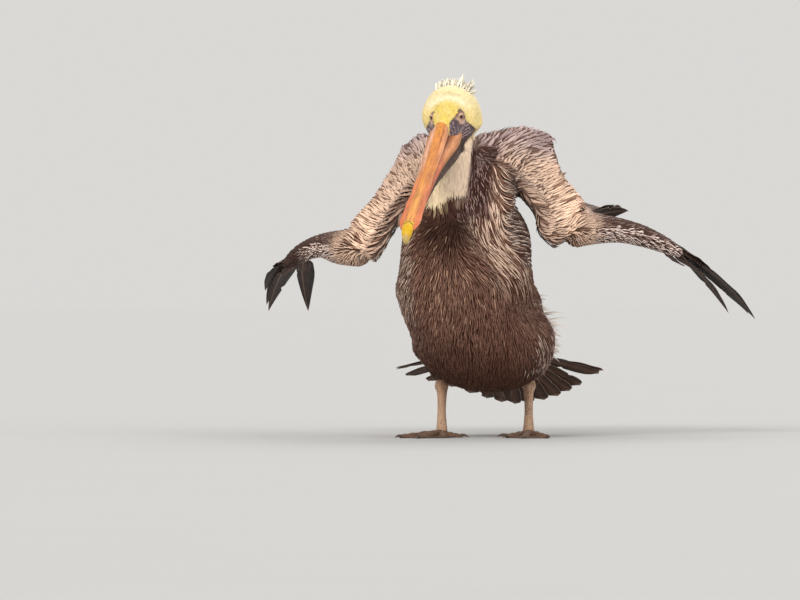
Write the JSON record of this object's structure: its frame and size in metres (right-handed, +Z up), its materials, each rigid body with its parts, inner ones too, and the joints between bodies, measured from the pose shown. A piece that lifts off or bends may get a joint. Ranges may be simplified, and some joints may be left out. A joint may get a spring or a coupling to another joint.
{
  "type": "brown pelican, still life-size model",
  "caption": "Life-size brown pelican standing on both feet with its wings half opened and its long bill lowered.",
  "frame": {"origin": "on the floor, under the middle of the whole bird's outline", "axes": "+Z up from the soles; -Y the way the bird faces, so +Y towards its tail; +X the bird's own left"},
  "size_m": [0.7672, 0.7878, 0.5432],
  "materials": {
    "dark_plumage": "matte",
    "silver_plumage": "matte",
    "white_plumage": "matte",
    "flight_feathers": "satin",
    "bill_horn": "satin",
    "nail_horn": "satin",
    "pouch_skin": "matte",
    "leg_skin": "matte",
    "claw_horn": "satin",
    "eye": "gloss"
  },
  "bodies": {
    "root": {"trunk": "dark_plumage", "head": "white_plumage", "neck_upper": "white_plumage", "neck_lower": "white_plumage", "bill_upper": "bill_horn", "bill_lower": "bill_horn", "bill_nail": "nail_horn", "pouch": "pouch_skin", "eye_left": "eye", "eye_right": "eye", "tail": "flight_feathers", "wing_left_upper_arm": "silver_plumage", "wing_left_forearm": "silver_plumage", "wing_left_hand": "silver_plumage", "wing_left_primaries": "flight_feathers", "wing_left_secondaries": "flight_feathers", "thigh_left": "dark_plumage", "tarsus_left": "leg_skin", "foot_left": "leg_skin", "claw_left_1": "claw_horn", "claw_left_2": "claw_horn", "claw_left_3": "claw_horn", "claw_left_4": "claw_horn", "wing_right_upper_arm": "silver_plumage", "wing_right_forearm": "silver_plumage", "wing_right_hand": "silver_plumage", "wing_right_primaries": "flight_feathers", "wing_right_secondaries": "flight_feathers", "thigh_right": "dark_plumage", "tarsus_right": "leg_skin", "foot_right": "leg_skin", "claw_right_1": "claw_horn", "claw_right_2": "claw_horn", "claw_right_3": "claw_horn", "claw_right_4": "claw_horn"}
  },
  "joints": []
}
